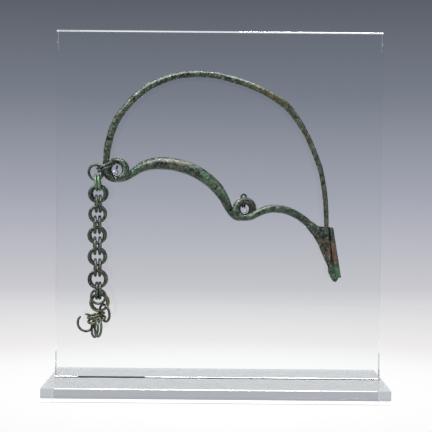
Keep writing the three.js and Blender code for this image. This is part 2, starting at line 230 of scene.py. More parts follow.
@dataclass(frozen=True)
class PatinatedBronze:
    """Wrought tin bronze after long burial: a mineral crust, mottled green-black and rough.

    It gives the eye a dark body broken up by fine pale specks, larger soft areas of green and
    brown, and stains and painted shade at named places. Sizes ending in _mm are those of the features.
    """

    name: str
    body_dark: str
    body_mid: str
    fleck: str
    green: str
    brown: str
    crust_mm: float = 7.0
    mottle_mm: float = 1.7
    grain_mm: float = 0.5
    green_share: float = 0.56
    brown_share: float = 0.6
    roughness: float = 0.36
    bump_mm: float = 0.2
    patches: tuple[Patch, ...] = ()

    def build(self) -> bpy.types.Material:
        """Builds the node material and returns it."""
        material, tree, output = new_material(self.name)
        where = add_node(tree, "ShaderNodeTexCoord").outputs["Object"]
        crust = add_node(tree, "ShaderNodeTexNoise", None, {
            "Vector": where, "Scale": per_metre(self.crust_mm), "Detail": 4.0, "Roughness": 0.6,
        }).outputs["Fac"]
        mottle = add_node(tree, "ShaderNodeTexNoise", None, {
            "Vector": where, "Scale": per_metre(self.mottle_mm), "Detail": 5.0, "Roughness": 0.7,
        }).outputs["Fac"]
        grain = add_node(tree, "ShaderNodeTexNoise", None, {
            "Vector": where, "Scale": per_metre(self.grain_mm), "Detail": 2.0, "Roughness": 0.6,
        }).outputs["Fac"]
        body = add_node(tree, "ShaderNodeValToRGB", None, {"Fac": mottle}, [
            (0.44, linear(self.body_dark)),
            (0.57, linear(self.body_mid)),
        ]).outputs["Color"]
        green_where = add_node(tree, "ShaderNodeValToRGB", None, {"Fac": crust}, [
            (self.green_share - 0.07, (0, 0, 0, 1)),
            (self.green_share + 0.1, (1, 1, 1, 1)),
        ]).outputs["Color"]
        green_part = add_node(tree, "ShaderNodeMath", {"operation": "MULTIPLY"}, {
            0: green_where, 1: mottle,
        }).outputs[0]
        with_green = add_node(tree, "ShaderNodeMix", {"data_type": "RGBA"}, {
            0: green_part, 6: body, 7: linear(self.green),
        }).outputs[2]
        stained_or_shaded = self._brown(tree, where, with_green, mottle)
        # The patches lay stains, and painted shade on the eyelet's right side.
        for patch in self.patches:
            stained_or_shaded = self._stain_or_shade(tree, where, stained_or_shaded, mottle, patch)
        fleck_where = add_node(tree, "ShaderNodeValToRGB", None, {"Fac": grain}, [
            (0.57, (0, 0, 0, 1)),
            (0.72, (0.6, 0.6, 0.6, 1)),
        ]).outputs["Color"]
        with_fleck = add_node(tree, "ShaderNodeMix", {"data_type": "RGBA"}, {
            0: fleck_where, 6: stained_or_shaded, 7: linear(self.fleck),
        }).outputs[2]
        gloss = add_node(tree, "ShaderNodeMapRange", None, {
            "Value": mottle, "From Min": 0.3, "From Max": 0.7,
            "To Min": self.roughness - 0.1, "To Max": self.roughness + 0.16,
        }).outputs["Result"]
        height = add_node(tree, "ShaderNodeMath", {"operation": "MULTIPLY_ADD"}, {
            0: grain, 1: 0.4, 2: mottle,
        }).outputs[0]
        bump = add_node(tree, "ShaderNodeBump", None, {
            "Height": height, "Distance": self.bump_mm * MM, "Strength": 0.8,
        }).outputs["Normal"]
        shader = add_node(tree, "ShaderNodeBsdfPrincipled", None, {
            "Base Color": with_fleck, "Metallic": 0.25, "Roughness": gloss, "Normal": bump,
        })
        tree.links.new(shader.outputs["BSDF"], output.inputs["Surface"])
        return material

    def _brown(
        self,
        tree: bpy.types.NodeTree,
        where: bpy.types.NodeSocket,
        under: bpy.types.NodeSocket,
        mottle: bpy.types.NodeSocket,
    ) -> bpy.types.NodeSocket:
        """Lays thin brown crust over the colour in broad, soft areas.

        Args:
            tree: The material's tree.
            where: Object coordinates.
            under: The colour below.
            mottle: The noise that breaks the brown up.

        Returns:
            The colour with the brown on it.
        """
        broad = add_node(tree, "ShaderNodeTexNoise", None, {
            "Vector": where, "Scale": per_metre(self.crust_mm * 1.7), "Detail": 3.0,
        }).outputs["Fac"]
        share = add_node(tree, "ShaderNodeValToRGB", None, {"Fac": broad}, [
            (self.brown_share - 0.05, (0, 0, 0, 1)),
            (self.brown_share + 0.1, (0.85, 0.85, 0.85, 1)),
        ]).outputs["Color"]
        tone = add_node(tree, "ShaderNodeMix", {"data_type": "RGBA", "blend_type": "MULTIPLY"}, {
            0: 0.5, 6: linear(self.brown), 7: mottle,
        }).outputs[2]
        return add_node(tree, "ShaderNodeMix", {"data_type": "RGBA"}, {
            0: share, 6: under, 7: tone,
        }).outputs[2]

    def _stain_or_shade(
        self,
        tree: bpy.types.NodeTree,
        where: bpy.types.NodeSocket,
        under: bpy.types.NodeSocket,
        mottle: bpy.types.NodeSocket,
        patch: Patch,
    ) -> bpy.types.NodeSocket:
        """Stains one place, or lays painted shade on it, strongest at its centre and broken up by the
        mottling.

        Args:
            tree: The material's tree.
            where: Object coordinates.
            under: The colour below.
            mottle: The noise that breaks the stain or the painted shade up.
            patch: The stained place, or the place of painted shade.

        Returns:
            The colour with the stain or the painted shade on it.
        """
        far = add_node(tree, "ShaderNodeVectorMath", {"operation": "DISTANCE"}, {
            0: where, 1: tuple(value * MM for value in patch.centre),
        }).outputs["Value"]
        near = add_node(tree, "ShaderNodeMapRange", None, {
            "Value": far, "From Min": 0.0, "From Max": patch.reach * MM, "To Min": 1.3, "To Max": 0.0,
        }).outputs["Result"]
        broken = add_node(tree, "ShaderNodeMath", {"operation": "MULTIPLY", "use_clamp": True}, {
            0: near, 1: mottle,
        }).outputs[0]
        share = add_node(tree, "ShaderNodeMath", {"operation": "MULTIPLY"}, {
            0: broken, 1: 2 * patch.strength,
        }).outputs[0]
        capped = add_node(tree, "ShaderNodeMath", {"operation": "MINIMUM"}, {
            0: share, 1: patch.strength,
        }).outputs[0]
        return add_node(tree, "ShaderNodeMix", {"data_type": "RGBA"}, {
            0: capped, 6: under, 7: linear(patch.colour),
        }).outputs[2]


@dataclass(frozen=True)
class ClearAcrylic:
    """Cast acrylic sheet and rod with polished edges: see-through, with bright and dark rims.

    The glow stands for light that the pale floor sends up into a sheet that lies on it.
    """

    name: str = "clear_cast_acrylic"
    tint: str = "#fbfdfd"
    index: float = 1.49
    roughness: float = 0.0
    glow: float = 0.0

    def build(self) -> bpy.types.Material:
        """Builds the node material and returns it."""
        material, tree, output = new_material(self.name)
        shader = add_node(tree, "ShaderNodeBsdfPrincipled", None, {
            "Base Color": linear(self.tint),
            "Roughness": self.roughness,
            "IOR": self.index,
            "Transmission Weight": 1.0,
            "Emission Color": linear("#f4f6fb"),
            "Emission Strength": self.glow,
        })
        tree.links.new(shader.outputs["BSDF"], output.inputs["Surface"])
        return material


@dataclass(frozen=True)
class BlackRubber:
    """Matt black rubber of the stand's ties: nearly no highlight, with a faint worn grain."""

    name: str = "matt_black_rubber"
    dark: str = "#0b0c0d"
    worn: str = "#1b1d1e"
    grain_mm: float = 0.6
    bump_mm: float = 0.03

    def build(self) -> bpy.types.Material:
        """Builds the node material and returns it."""
        material, tree, output = new_material(self.name)
        where = add_node(tree, "ShaderNodeTexCoord").outputs["Object"]
        grain = add_node(tree, "ShaderNodeTexNoise", None, {
            "Vector": where, "Scale": per_metre(self.grain_mm), "Detail": 3.0,
        }).outputs["Fac"]
        colour = add_node(tree, "ShaderNodeValToRGB", None, {"Fac": grain}, [
            (0.4, linear(self.dark)),
            (0.7, linear(self.worn)),
        ]).outputs["Color"]
        bump = add_node(tree, "ShaderNodeBump", None, {
            "Height": grain, "Distance": self.bump_mm * MM,
        }).outputs["Normal"]
        shader = add_node(tree, "ShaderNodeBsdfPrincipled", None, {
            "Base Color": colour, "Roughness": 0.6, "Normal": bump,
        })
        tree.links.new(shader.outputs["BSDF"], output.inputs["Surface"])
        return material


GREEN, EARTH, RUST = "#3a6b45", "#453f28", "#5a3a2e"
# Stains on the bronze, and one place of painted shade on the eyelet's right side.
BRONZE_STAINS_AND_SHADE = (
    Patch((-49, -13, 132), 5.0, GREEN, 0.3),
    Patch((-6, -13, 129), 5.0, GREEN, 0.35),
    Patch((4, -12, 119), 4.0, GREEN, 0.35),
    Patch((-24, -11, 139), 9.0, "#5a4c42", 0.4),
    Patch((30, -23, 176), 24.0, EARTH, 0.6),
    Patch((55, -23, 155), 12.0, EARTH, 0.6),
    Patch((58, -22, 146), 6.0, "#35593b", 0.4),
    Patch((63, -22, 118), 14.0, "#332b1d", 0.6),
    Patch((65, -21, 104), 5.0, EARTH, 0.5),
    # Painted shade: the eyelet's right side is darkened to dark brown where it lies in shade.
    Patch((20, -18, 112), 5.5, "#2e2418", 0.8),
    Patch((69, -21, 86), 8.0, RUST, 0.7),
    Patch((61, -18, 92), 3.0, RUST, 0.5),
    Patch((70, -20, 74), 4.5, GREEN, 0.7),
)


# ---- Geometry Nodes trees ----


class SocketKind(Enum):
    """The kinds of input that the trees take."""

    GEOMETRY = "NodeSocketGeometry"
    NUMBER = "NodeSocketFloat"
    WHOLE = "NodeSocketInt"
    VECTOR = "NodeSocketVector"
    TURN = "NodeSocketRotation"
    MATERIAL = "NodeSocketMaterial"


def start_tree(
    name: str, inputs: dict[str, SocketKind]
) -> tuple[bpy.types.NodeTree, bpy.types.Node]:
    """Starts a Geometry Nodes tree with named inputs and one geometry output.

    Args:
        name: The tree's name.
        inputs: The kind of each named input.

    Returns:
        The tree and its input node.
    """
    tree = bpy.data.node_groups.new(name, "GeometryNodeTree")
    for label, kind in inputs.items():
        tree.interface.new_socket(name=label, in_out="INPUT", socket_type=kind.value)
    tree.interface.new_socket(name="Geometry", in_out="OUTPUT", socket_type=SocketKind.GEOMETRY.value)
    return tree, add_node(tree, "NodeGroupInput")


def end_tree(
    tree: bpy.types.NodeTree, shape: bpy.types.NodeSocket, material: bpy.types.NodeSocket
) -> None:
    """Ends a tree in Realize Instances and Set Material.

    Args:
        tree: The tree.
        shape: The geometry so far.
        material: The material input.
    """
    real = add_node(tree, "GeometryNodeRealizeInstances", None, {"Geometry": shape}).outputs[0]
    dressed = add_node(tree, "GeometryNodeSetMaterial", None, {
        "Geometry": real, "Material": material,
    }).outputs[0]
    add_node(tree, "NodeGroupOutput", None, {"Geometry": dressed})


def shift_by_noise(
    tree: bpy.types.NodeTree,
    shape: bpy.types.NodeSocket,
    depth: bpy.types.NodeSocket,
    size: bpy.types.NodeSocket,
    seed: bpy.types.NodeSocket,
) -> bpy.types.NodeSocket:
    """Moves a surface in and out along its normals by noise.

    Args:
        tree: The tree.
        shape: The geometry so far.
        depth: The full height of the relief, in metres.
        size: The features' scale, per metre.
        seed: Moves the noise.

    Returns:
        The roughened geometry.
    """
    noise = add_node(tree, "ShaderNodeTexNoise", {"noise_dimensions": "4D"}, {
        "W": seed, "Scale": size, "Detail": 3.0, "Roughness": 0.55,
    }).outputs["Fac"]
    share = add_node(tree, "ShaderNodeMath", {"operation": "SUBTRACT"}, {0: 0.5, 1: noise}).outputs[0]
    shift = add_node(tree, "ShaderNodeMath", {"operation": "MULTIPLY"}, {0: share, 1: depth}).outputs[0]
    normal = add_node(tree, "GeometryNodeInputNormal").outputs["Normal"]
    offset = add_node(tree, "ShaderNodeVectorMath", {"operation": "SCALE"}, {
        0: normal, "Scale": shift,
    }).outputs["Vector"]
    return add_node(tree, "GeometryNodeSetPosition", None, {
        "Geometry": shape, "Offset": offset,
    }).outputs[0]


def wire_tree() -> bpy.types.NodeTree:
    """Builds the tree that skins a line of points as a round wire.

    The line's points carry wire_radius, and flat, which squeezes the wire front to back.
    """
    tree, given = start_tree("wire_along_line", {
        "Geometry": SocketKind.GEOMETRY,
        "Sides": SocketKind.WHOLE,
        "Material": SocketKind.MATERIAL,
    })
    line = add_node(tree, "GeometryNodeMeshToCurve", None, {"Mesh": given.outputs["Geometry"]}).outputs[0]
    radius = add_node(tree, "GeometryNodeInputNamedAttribute", {"data_type": "FLOAT"}, {
        "Name": "wire_radius",
    }).outputs["Attribute"]
    section = add_node(tree, "GeometryNodeCurvePrimitiveCircle", None, {
        "Resolution": given.outputs["Sides"], "Radius": 1.0,
    }).outputs["Curve"]
    skin = add_node(tree, "GeometryNodeCurveToMesh", None, {
        "Curve": line, "Profile Curve": section, "Scale": radius, "Fill Caps": True,
    }).outputs[0]
    middle = add_node(tree, "GeometryNodeInputNamedAttribute", {"data_type": "FLOAT_VECTOR"}, {
        "Name": "middle",
    }).outputs["Attribute"]
    flat = add_node(tree, "GeometryNodeInputNamedAttribute", {"data_type": "FLOAT"}, {
        "Name": "flat",
    }).outputs["Attribute"]
    place = add_node(tree, "GeometryNodeInputPosition").outputs[0]
    spoke = add_node(tree, "ShaderNodeVectorMath", {"operation": "SUBTRACT"}, {
        0: place, 1: middle,
    }).outputs[0]
    squeeze = add_node(tree, "ShaderNodeCombineXYZ", None, {"X": 1.0, "Y": flat, "Z": 1.0}).outputs[0]
    squeezed = add_node(tree, "ShaderNodeVectorMath", {"operation": "MULTIPLY_ADD"}, {
        0: spoke, 1: squeeze, 2: middle,
    }).outputs[0]
    moved = add_node(tree, "GeometryNodeSetPosition", None, {
        "Geometry": skin, "Position": squeezed,
    }).outputs[0]
    end_tree(tree, moved, given.outputs["Material"])
    return tree


def relief_tree() -> bpy.types.NodeTree:
    """Builds the tree that gives a closed skin its corrosion relief."""
    tree, given = start_tree("corroded_relief", {
        "Geometry": SocketKind.GEOMETRY,
        "Broad Depth": SocketKind.NUMBER,
        "Broad Size": SocketKind.NUMBER,
        "Fine Depth": SocketKind.NUMBER,
        "Fine Size": SocketKind.NUMBER,
        "Seed": SocketKind.NUMBER,
        "Material": SocketKind.MATERIAL,
    })
    broad = shift_by_noise(tree, given.outputs["Geometry"], given.outputs["Broad Depth"],
                           given.outputs["Broad Size"], given.outputs["Seed"])
    fine = shift_by_noise(tree, broad, given.outputs["Fine Depth"],
                          given.outputs["Fine Size"], given.outputs["Seed"])
    end_tree(tree, fine, given.outputs["Material"])
    return tree


def ring_tree() -> bpy.types.NodeTree:
    """Builds the tree that makes one hand-made wire ring where its CAD ring is.

    The wire's thickness wanders along the ring, by the Thinning share at most.
    """
    tree, given = start_tree("chain_ring", {
        "Geometry": SocketKind.GEOMETRY,
        "Ring Radius": SocketKind.NUMBER,
        "Wire Radius": SocketKind.NUMBER,
        "Thinning": SocketKind.NUMBER,
        "Relief Depth": SocketKind.NUMBER,
        "Relief Size": SocketKind.NUMBER,
        "Seed": SocketKind.NUMBER,
        "Turn": SocketKind.TURN,
        "Centre": SocketKind.VECTOR,
        "Material": SocketKind.MATERIAL,
    })
    circle = add_node(tree, "GeometryNodeCurvePrimitiveCircle", None, {
        "Resolution": RING_STEPS, "Radius": given.outputs["Ring Radius"],
    }).outputs["Curve"]
    wander = add_node(tree, "ShaderNodeTexNoise", {"noise_dimensions": "4D"}, {
        "W": given.outputs["Seed"], "Scale": WANDER_PER_METRE, "Detail": 1.0,
    }).outputs["Fac"]
    loss = add_node(tree, "ShaderNodeMath", {"operation": "MULTIPLY"}, {
        0: wander, 1: given.outputs["Thinning"],
    }).outputs[0]
    share = add_node(tree, "ShaderNodeMath", {"operation": "SUBTRACT"}, {0: 1.0, 1: loss}).outputs[0]
    radius = add_node(tree, "ShaderNodeMath", {"operation": "MULTIPLY"}, {
        0: share, 1: given.outputs["Wire Radius"],
    }).outputs[0]
    section = add_node(tree, "GeometryNodeCurvePrimitiveCircle", None, {
        "Resolution": RING_WIRE_SIDES, "Radius": 1.0,
    }).outputs["Curve"]
    skin = add_node(tree, "GeometryNodeCurveToMesh", None, {
        "Curve": circle, "Profile Curve": section, "Scale": radius,
    }).outputs[0]
    rough = shift_by_noise(tree, skin, given.outputs["Relief Depth"],
                           given.outputs["Relief Size"], given.outputs["Seed"])
    placed = add_node(tree, "GeometryNodeTransform", None, {
        "Geometry": rough, "Translation": given.outputs["Centre"], "Rotation": given.outputs["Turn"],
    }).outputs[0]
    end_tree(tree, placed, given.outputs["Material"])
    return tree


# ---- The fibula ----


@dataclass
class Station:
    """One control point of the wire: its place, its width, and its depth as a share of it."""

    place: np.ndarray
    width: float
    flat: float = 1.0


def smooth_line(controls: list[Station], step_mm: float) -> list[Station]:
    """Runs a centripetal spline through the stations.

    Args:
        controls: The stations that the line passes through.
        step_mm: The distance between the new stations.

    Returns:
        Close-set stations along the line.
    """
    places = [control.place for control in controls]
    places = [2 * places[0] - places[1], *places, 2 * places[-1] - places[-2]]
    line = []
    for index in range(len(controls) - 1):
        p0, p1, p2, p3 = places[index:index + 4]
        t0, t1, t2 = (max(math.sqrt(np.linalg.norm(b - a)), 1e-4) for a, b in ((p0, p1), (p1, p2), (p2, p3)))
        start = ((p1 - p0) / t0 - (p2 - p0) / (t0 + t1) + (p2 - p1) / t1) * t1
        stop = ((p2 - p1) / t1 - (p3 - p1) / (t1 + t2) + (p3 - p2) / t2) * t1
        parts = max(1, round(np.linalg.norm(p2 - p1) / step_mm))
        here, there = controls[index], controls[index + 1]
        for part in range(parts):
            s = part / parts
            place = (
                (2 * s**3 - 3 * s**2 + 1) * p1 + (s**3 - 2 * s**2 + s) * start
                + (3 * s**2 - 2 * s**3) * p2 + (s**3 - s**2) * stop
            )
            line.append(Station(
                place,
                here.width + (there.width - here.width) * s,
                here.flat + (there.flat - here.flat) * s,
            ))
    line.append(controls[-1])
    return line


def line_object(name: str, line: list[Station]) -> bpy.types.Object:
    """Makes the bare line of points that wire_tree skins.

    Args:
        name: The object's name.
        line: Close-set stations, in millimetres.

    Returns:
        An object of points and edges, in metres.
    """
    places = [tuple(station.place * MM) for station in line]
    mesh = bpy.data.meshes.new(name)
    mesh.from_pydata(places, [(n, n + 1) for n in range(len(line) - 1)], [])
    radius = mesh.attributes.new("wire_radius", "FLOAT", "POINT")
    radius.data.foreach_set("value", [station.width / 2 * MM for station in line])
    flat = mesh.attributes.new("flat", "FLOAT", "POINT")
    flat.data.foreach_set("value", [station.flat for station in line])
    middle = mesh.attributes.new("middle", "FLOAT_VECTOR", "POINT")
    middle.data.foreach_set("vector", [value for place in places for value in place])
    return plain_object(name, mesh)


def ease(share: float) -> float:
    """Gives a share from 0 to 1 soft ends."""
    return share * share * (3 - 2 * share)


@dataclass
class Fibula:
    """The one wrought wire: pin, spring, bow, eyelet and small arc, and its beaten catchplate.

    Depths ending in _y are where a stretch lies from front to back. The swell makes up for what
    the remesh takes off, and root_before and root_end are how deep the wire is where it is beaten
    flat into the plate. Routes hold x, z and width. The spring and eyelet hold x, z, radius or
    both radii, wire width, and the spring's turns.
    """

    pin_y: float = -21.8
    bow_y: float = -10.4
    arc_y: float = -21.3
    plate_y: float = -17.4
    point_y: float = -19.8
    swell: float = 0.14
    root_before: float = 3.2
    root_end: float = 1.7
    plate_thick: float = 1.3
    steps_per_turn: int = 24
    spring: tuple[float, float, float, float, float] = (-59.6, 132.8, 5.45, 3.4, 2.25)
    spring_front_pitch: float = 6.7
    spring_shift: float = 1.3
    eyelet: tuple[float, float, float, float, float] = (16.2, 110.5, 4.65, 4.85, 4.0)
    eyelet_turns: int = 2
    eyelet_shift: float = -0.6
    fold_top: tuple[float, float, float, float] = (66.5, 100.1, 2.1, 66.4)
    fold_foot: tuple[float, float, float, float] = (70.8, 70.7, 2.9, 70.4)
    fold_depth: float = 4.4
    fold_wall: float = 1.2
    fold_closing: float = 1.2
    fold_bite: float = 0.3
    fold_tuck: float = 0.4
    fold_arc_steps: int = 10
    fold_stations: int = 24
    lip_swing: float = 1.8
    lip_slope: tuple[float, float] = (0.2, 0.1)
    line_step: float = 0.5
    wire_sides: int = 30
    soften_rounds: int = 4
    voxel: float = 0.33
    pin_route: list[Point] = field(default_factory=lambda: [
        (66.6, 79.4, 0.8), (66.0, 84.0, 1.8), (65.2, 89.8, 2.4), (64.3, 97.5, 2.6),
        (64.0, 105.7, 2.7), (63.4, 115.1, 2.9), (62.2, 124.5, 2.9), (60.3, 133.8, 3.0),
        (56.8, 143.4, 3.1), (51.8, 154.5, 3.2), (45.8, 164.0, 3.7), (39.3, 171.6, 4.5),
        (30.5, 177.4, 3.9), (21.0, 182.0, 3.8), (9.5, 185.9, 3.8), (-2.0, 188.6, 3.8),
        (-12.6, 189.3, 3.8), (-22.5, 188.4, 3.9), (-31.5, 185.9, 4.0), (-41.0, 181.3, 4.1),
        (-50.6, 173.3, 4.2), (-57.8, 164.4, 4.3), (-62.1, 155.1, 4.3), (-64.4, 146.2, 4.1),
        (-65.1, 139.4, 3.7),
    ])
    bow_route: list[Point] = field(default_factory=lambda: [
        (-55.3, 128.1, 3.7), (-51.6, 130.3, 4.2), (-47.6, 133.2, 5.2), (-43.4, 135.4, 6.1),
        (-37.6, 136.8, 6.9), (-31.1, 137.0, 7.2), (-22.8, 135.8, 7.3), (-14.5, 133.0, 7.3),
        (-6.4, 128.2, 7.1), (-0.4, 122.8, 6.7), (3.9, 116.6, 5.5), (7.1, 110.2, 4.5),
        (11.2, 105.7, 3.9),
    ])
    arc_route: list[Point] = field(default_factory=lambda: [
        (20.0, 106.2, 3.8), (23.6, 108.2, 4.2), (27.8, 110.0, 4.5), (32.2, 110.8, 4.6),
        (37.8, 110.5, 4.5), (43.4, 108.9, 4.4), (48.7, 106.1, 4.3), (53.2, 102.6, 4.3),
        (56.8, 99.3, 4.2),
    ])
    plate_outline: list[tuple[float, float]] = field(default_factory=lambda: [
        (56.2, 103.4), (59.6, 100.7), (66.6, 100.4), (69.0, 88.0), (71.0, 76.0), (71.6, 70.3), (71.1, 68.9),
        (69.9, 67.9), (68.5, 68.4), (66.8, 70.6), (65.6, 73.8), (65.1, 77.3), (62.0, 84.1), (59.2, 90.8),
        (55.8, 96.2), (52.4, 99.9),
    ])

    def _flat_run(self, route: list[Point], depths: list[float]) -> list[Station]:
        """Places a route's points at the given depths."""
        return [
            Station(np.array((x, y, z)), width)
            for (x, z, width), y in zip(route, depths)
        ]

    def _spring_run(self) -> list[Station]:
        """Gives the spring from the pin, down its left side and round to the bow at its foot."""
        x, z, radius, wire, turns = self.spring
        rest_pitch = (self.bow_y - self.pin_y - self.spring_front_pitch) / (turns - 1)
        run = []
        for step in range(round(turns * self.steps_per_turn) + 1):
            turn = step / self.steps_per_turn
            angle = math.pi + 2 * math.pi * turn
            depth = self.pin_y + min(turn, 1) * self.spring_front_pitch + max(turn - 1, 0) * rest_pitch
            shift = self.spring_shift * (turn / turns - 0.5)
            place = (x + shift + radius * math.cos(angle), depth, z + radius * math.sin(angle))
            run.append(Station(np.array(place), wire))
        return run

    def _eyelet_run(self) -> list[Station]:
        """Gives the eyelet's turns, from the bow behind to the small arc in front."""
        x, z, radius_x, radius_z, wire = self.eyelet
        count = self.eyelet_turns * self.steps_per_turn
        run = []
        for step in range(count + 1):
            share = step / count
            angle = -math.pi / 2 + 2 * math.pi * self.eyelet_turns * share
            depth = self.bow_y + (self.arc_y - self.bow_y) * share
            shift = self.eyelet_shift * (2 * share - 1)
            place = (x + shift + radius_x * math.cos(angle), depth, z + radius_z * math.sin(angle))
            run.append(Station(np.array(place), wire))
        return run

    def _stations(self) -> list[Station]:
        """Gives the whole wire from the pin's point to the catchplate."""
        pin_last = len(self.pin_route) - 1
        pin = self._flat_run(self.pin_route, [
            self.point_y + (self.pin_y - self.point_y) * ease(n / pin_last) for n in range(pin_last + 1)
        ])
        bow = self._flat_run(self.bow_route, [self.bow_y] * len(self.bow_route))
        arc_last = len(self.arc_route) - 1
        arc = self._flat_run(self.arc_route, [
            self.arc_y + (self.plate_y - self.arc_y) * ease(n / arc_last) for n in range(arc_last + 1)
        ])
        arc[-1].flat = self.root_end / arc[-1].width
        arc[-2].flat = self.root_before / arc[-2].width
        return [*pin, *self._spring_run(), *bow, *self._eyelet_run(), *arc]

    def _plate(self) -> bpy.types.Mesh:
        """Makes the beaten plate."""
        shape = bmesh.new()
        front = self.plate_y - self.plate_thick / 2
        verts = [shape.verts.new((x * MM, front * MM, z * MM)) for x, z in self.plate_outline]
        face = shape.faces.new(verts)
        grown = bmesh.ops.extrude_face_region(shape, geom=[face])
        moved = [item for item in grown["geom"] if isinstance(item, bmesh.types.BMVert)]
        bmesh.ops.translate(shape, vec=(0, self.plate_thick * MM, 0), verts=moved)
        bmesh.ops.recalc_face_normals(shape, faces=shape.faces)
        mesh = bpy.data.meshes.new("plate")
        shape.to_mesh(mesh)
        shape.free()
        return mesh

    def _fold_section(self, share: float) -> list[Point]:
        """Gives the fold's closed section at a share of its height, from its head down.

        Args:
            share: 0 at the head and 1 at the foot.

        Returns:
            The section's points, in metres.
        """
        x, z, width, _ = (a + (b - a) * share for a, b in zip(self.fold_top, self.fold_foot))
        lip = self.fold_top[3] + (self.fold_foot[3] - self.fold_top[3]) * share**self.lip_swing
        depth = self.fold_depth - self.fold_closing * ease(max(share * 3 - 2, 0))
        outer = depth / 2
        inner = outer - self.fold_wall
        back = self.plate_y + self.plate_thick / 2
        middle = back - outer
        bulge = width - self.fold_tuck
        reach = max(bulge - self.fold_wall, self.fold_bite)
        outer_slope, inner_slope = self.lip_slope
        angles = [
            math.pi / 2 - math.pi * step / self.fold_arc_steps
            for step in range(self.fold_arc_steps + 1)
        ]
        points = [(x - self.fold_bite, back)]
        points += [(x + bulge * math.cos(a), middle + outer * math.sin(a)) for a in angles]
        points += [(lip, middle - outer + outer_slope), (lip, middle - inner - inner_slope)]
        points += [(x + reach * math.cos(a), middle + inner * math.sin(a)) for a in reversed(angles)]
        points.append((x - self.fold_bite, middle + inner))
        return [(px * MM, py * MM, z * MM) for px, py in points]

    def _fold(self) -> bpy.types.Mesh:
        """Makes the edge that is folded forward over the pin's point."""
        shape = bmesh.new()
        rows = [
            [shape.verts.new(point) for point in self._fold_section(n / (self.fold_stations - 1))]
            for n in range(self.fold_stations)
        ]
        for upper, lower in zip(rows, rows[1:]):
            for side, vert in enumerate(upper):
                beside = (side + 1) % len(upper)
                shape.faces.new((vert, upper[beside], lower[beside], lower[side]))
        shape.faces.new(rows[0])
        shape.faces.new(list(reversed(rows[-1])))
        bmesh.ops.triangulate(shape, faces=[face for face in shape.faces if len(face.verts) > 4])
        bmesh.ops.recalc_face_normals(shape, faces=shape.faces)
        mesh = bpy.data.meshes.new("fold")
        shape.to_mesh(mesh)
        shape.free()
        return mesh

    def build(
        self, bronze: bpy.types.Material, wires: bpy.types.NodeTree, relief: bpy.types.NodeTree
    ) -> None:
        """Builds the fibula as one closed skin and dresses it.

        Args:
            bronze: Its finish.
            wires: The tree that skins a line.
            relief: The tree that gives the corrosion's relief.
        """
        line = smooth_line(self._stations(), self.line_step)
        for station in line:
            station.width += self.swell
        piece = line_object("fibula_bronze", line)
        use_tree(piece, wires, {"Sides": self.wire_sides, "Material": bronze})
        bake_modifiers(piece, bronze)
        shape = bmesh.new()
        shape.from_mesh(piece.data)
        shape.from_mesh(self._plate())
        shape.from_mesh(self._fold())
        shape.to_mesh(piece.data)
        shape.free()
        skin = piece.modifiers.new("one_skin", "REMESH")
        skin.mode = "VOXEL"
        skin.voxel_size = self.voxel * MM
        soften = piece.modifiers.new("soften", "SMOOTH")
        soften.factor = 0.5
        soften.iterations = self.soften_rounds
        use_tree(piece, relief, {
            "Broad Depth": 0.6 * MM, "Broad Size": per_metre(5.0),
            "Fine Depth": 0.4 * MM, "Fine Size": per_metre(1.5),
            "Seed": 3.0, "Material": bronze,
        })
        bake_modifiers(piece, bronze)
        finish_piece(piece, ["fibula"], "pin, spring, bow, eyelet and catchplate")


# ---- The chain ----


